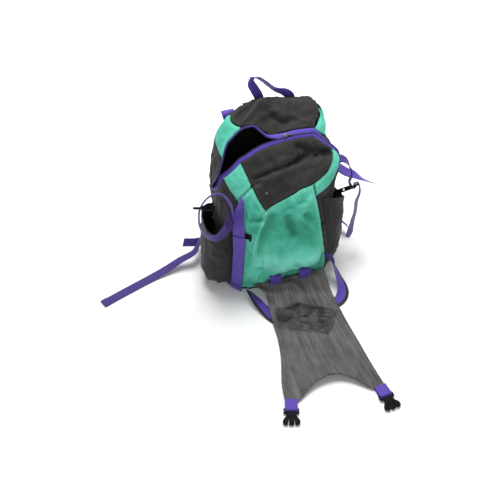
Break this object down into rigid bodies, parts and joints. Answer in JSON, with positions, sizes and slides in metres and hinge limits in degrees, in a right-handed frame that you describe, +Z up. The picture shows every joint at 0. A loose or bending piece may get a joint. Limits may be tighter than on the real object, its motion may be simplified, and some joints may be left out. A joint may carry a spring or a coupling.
{
  "type": "sports backpack",
  "caption": "Small cloth sports backpack standing with its top zip part open and its front flap laid out on the ground, with webbing straps and side-release buckles.",
  "frame": {"origin": "on the flat underside of the bag's base, in line with the middle of the bag", "axes": "+X to the viewer's right facing the front, front towards -Y, +Z up"},
  "size_m": [0.6149, 0.6197, 0.408],
  "materials": {
    "charcoal_cloth": "woven nylon, matte",
    "teal_cloth": "woven nylon, matte",
    "purple_webbing": "ribbed nylon webbing",
    "flap_lining": "coated nylon, crinkled, slight sheen",
    "buckle_plastic": "moulded acetal, satin",
    "small_metal": "dull nickel"
  },
  "bodies": {
    "root": {"side_lower_left": "charcoal_cloth", "side_lower_right": "charcoal_cloth", "front_side_left": "charcoal_cloth", "front_side_right": "charcoal_cloth", "front_band_left": "teal_cloth", "front_band_right": "teal_cloth", "front_pocket": "teal_cloth", "pocket_vee": "charcoal_cloth", "front_yoke": "charcoal_cloth", "rear_side_left": "charcoal_cloth", "rear_side_right": "charcoal_cloth", "rear_band_left": "teal_cloth", "rear_band_right": "teal_cloth", "rear_top": "charcoal_cloth", "back_panel": "charcoal_cloth", "zip_tape_front": "purple_webbing", "zip_tape_rear": "purple_webbing", "bottom_panel": "charcoal_cloth", "top_panel": "charcoal_cloth", "side_pocket_left": "charcoal_cloth", "side_pocket_right": "charcoal_cloth", "compression_strap_left": "purple_webbing", "compression_slider": "buckle_plastic", "closure_strap_left": "purple_webbing", "closure_buckle_left": "buckle_plastic", "closure_strap_right": "purple_webbing", "closure_buckle_right": "buckle_plastic", "side_strap_right": "purple_webbing", "hip_strap_left": "purple_webbing", "shoulder_tail_left": "purple_webbing", "hip_strap_right": "purple_webbing", "grab_loop": "purple_webbing", "shoulder_strap_left": "charcoal_cloth", "shoulder_lifter_left": "purple_webbing", "shoulder_webbing_left": "purple_webbing", "shoulder_strap_right": "charcoal_cloth", "shoulder_lifter_right": "purple_webbing", "shoulder_webbing_right": "purple_webbing", "flap": "flap_lining", "flap_hinge_left": "purple_webbing", "flap_hinge_right": "purple_webbing", "flap_strap_left": "purple_webbing", "flap_strap_right": "purple_webbing", "flap_tab_left": "purple_webbing", "flap_buckle_left": "buckle_plastic", "flap_tab_right": "purple_webbing", "flap_buckle_right": "buckle_plastic", "zip_slider": "small_metal", "front_snap": "small_metal"}
  },
  "joints": []
}
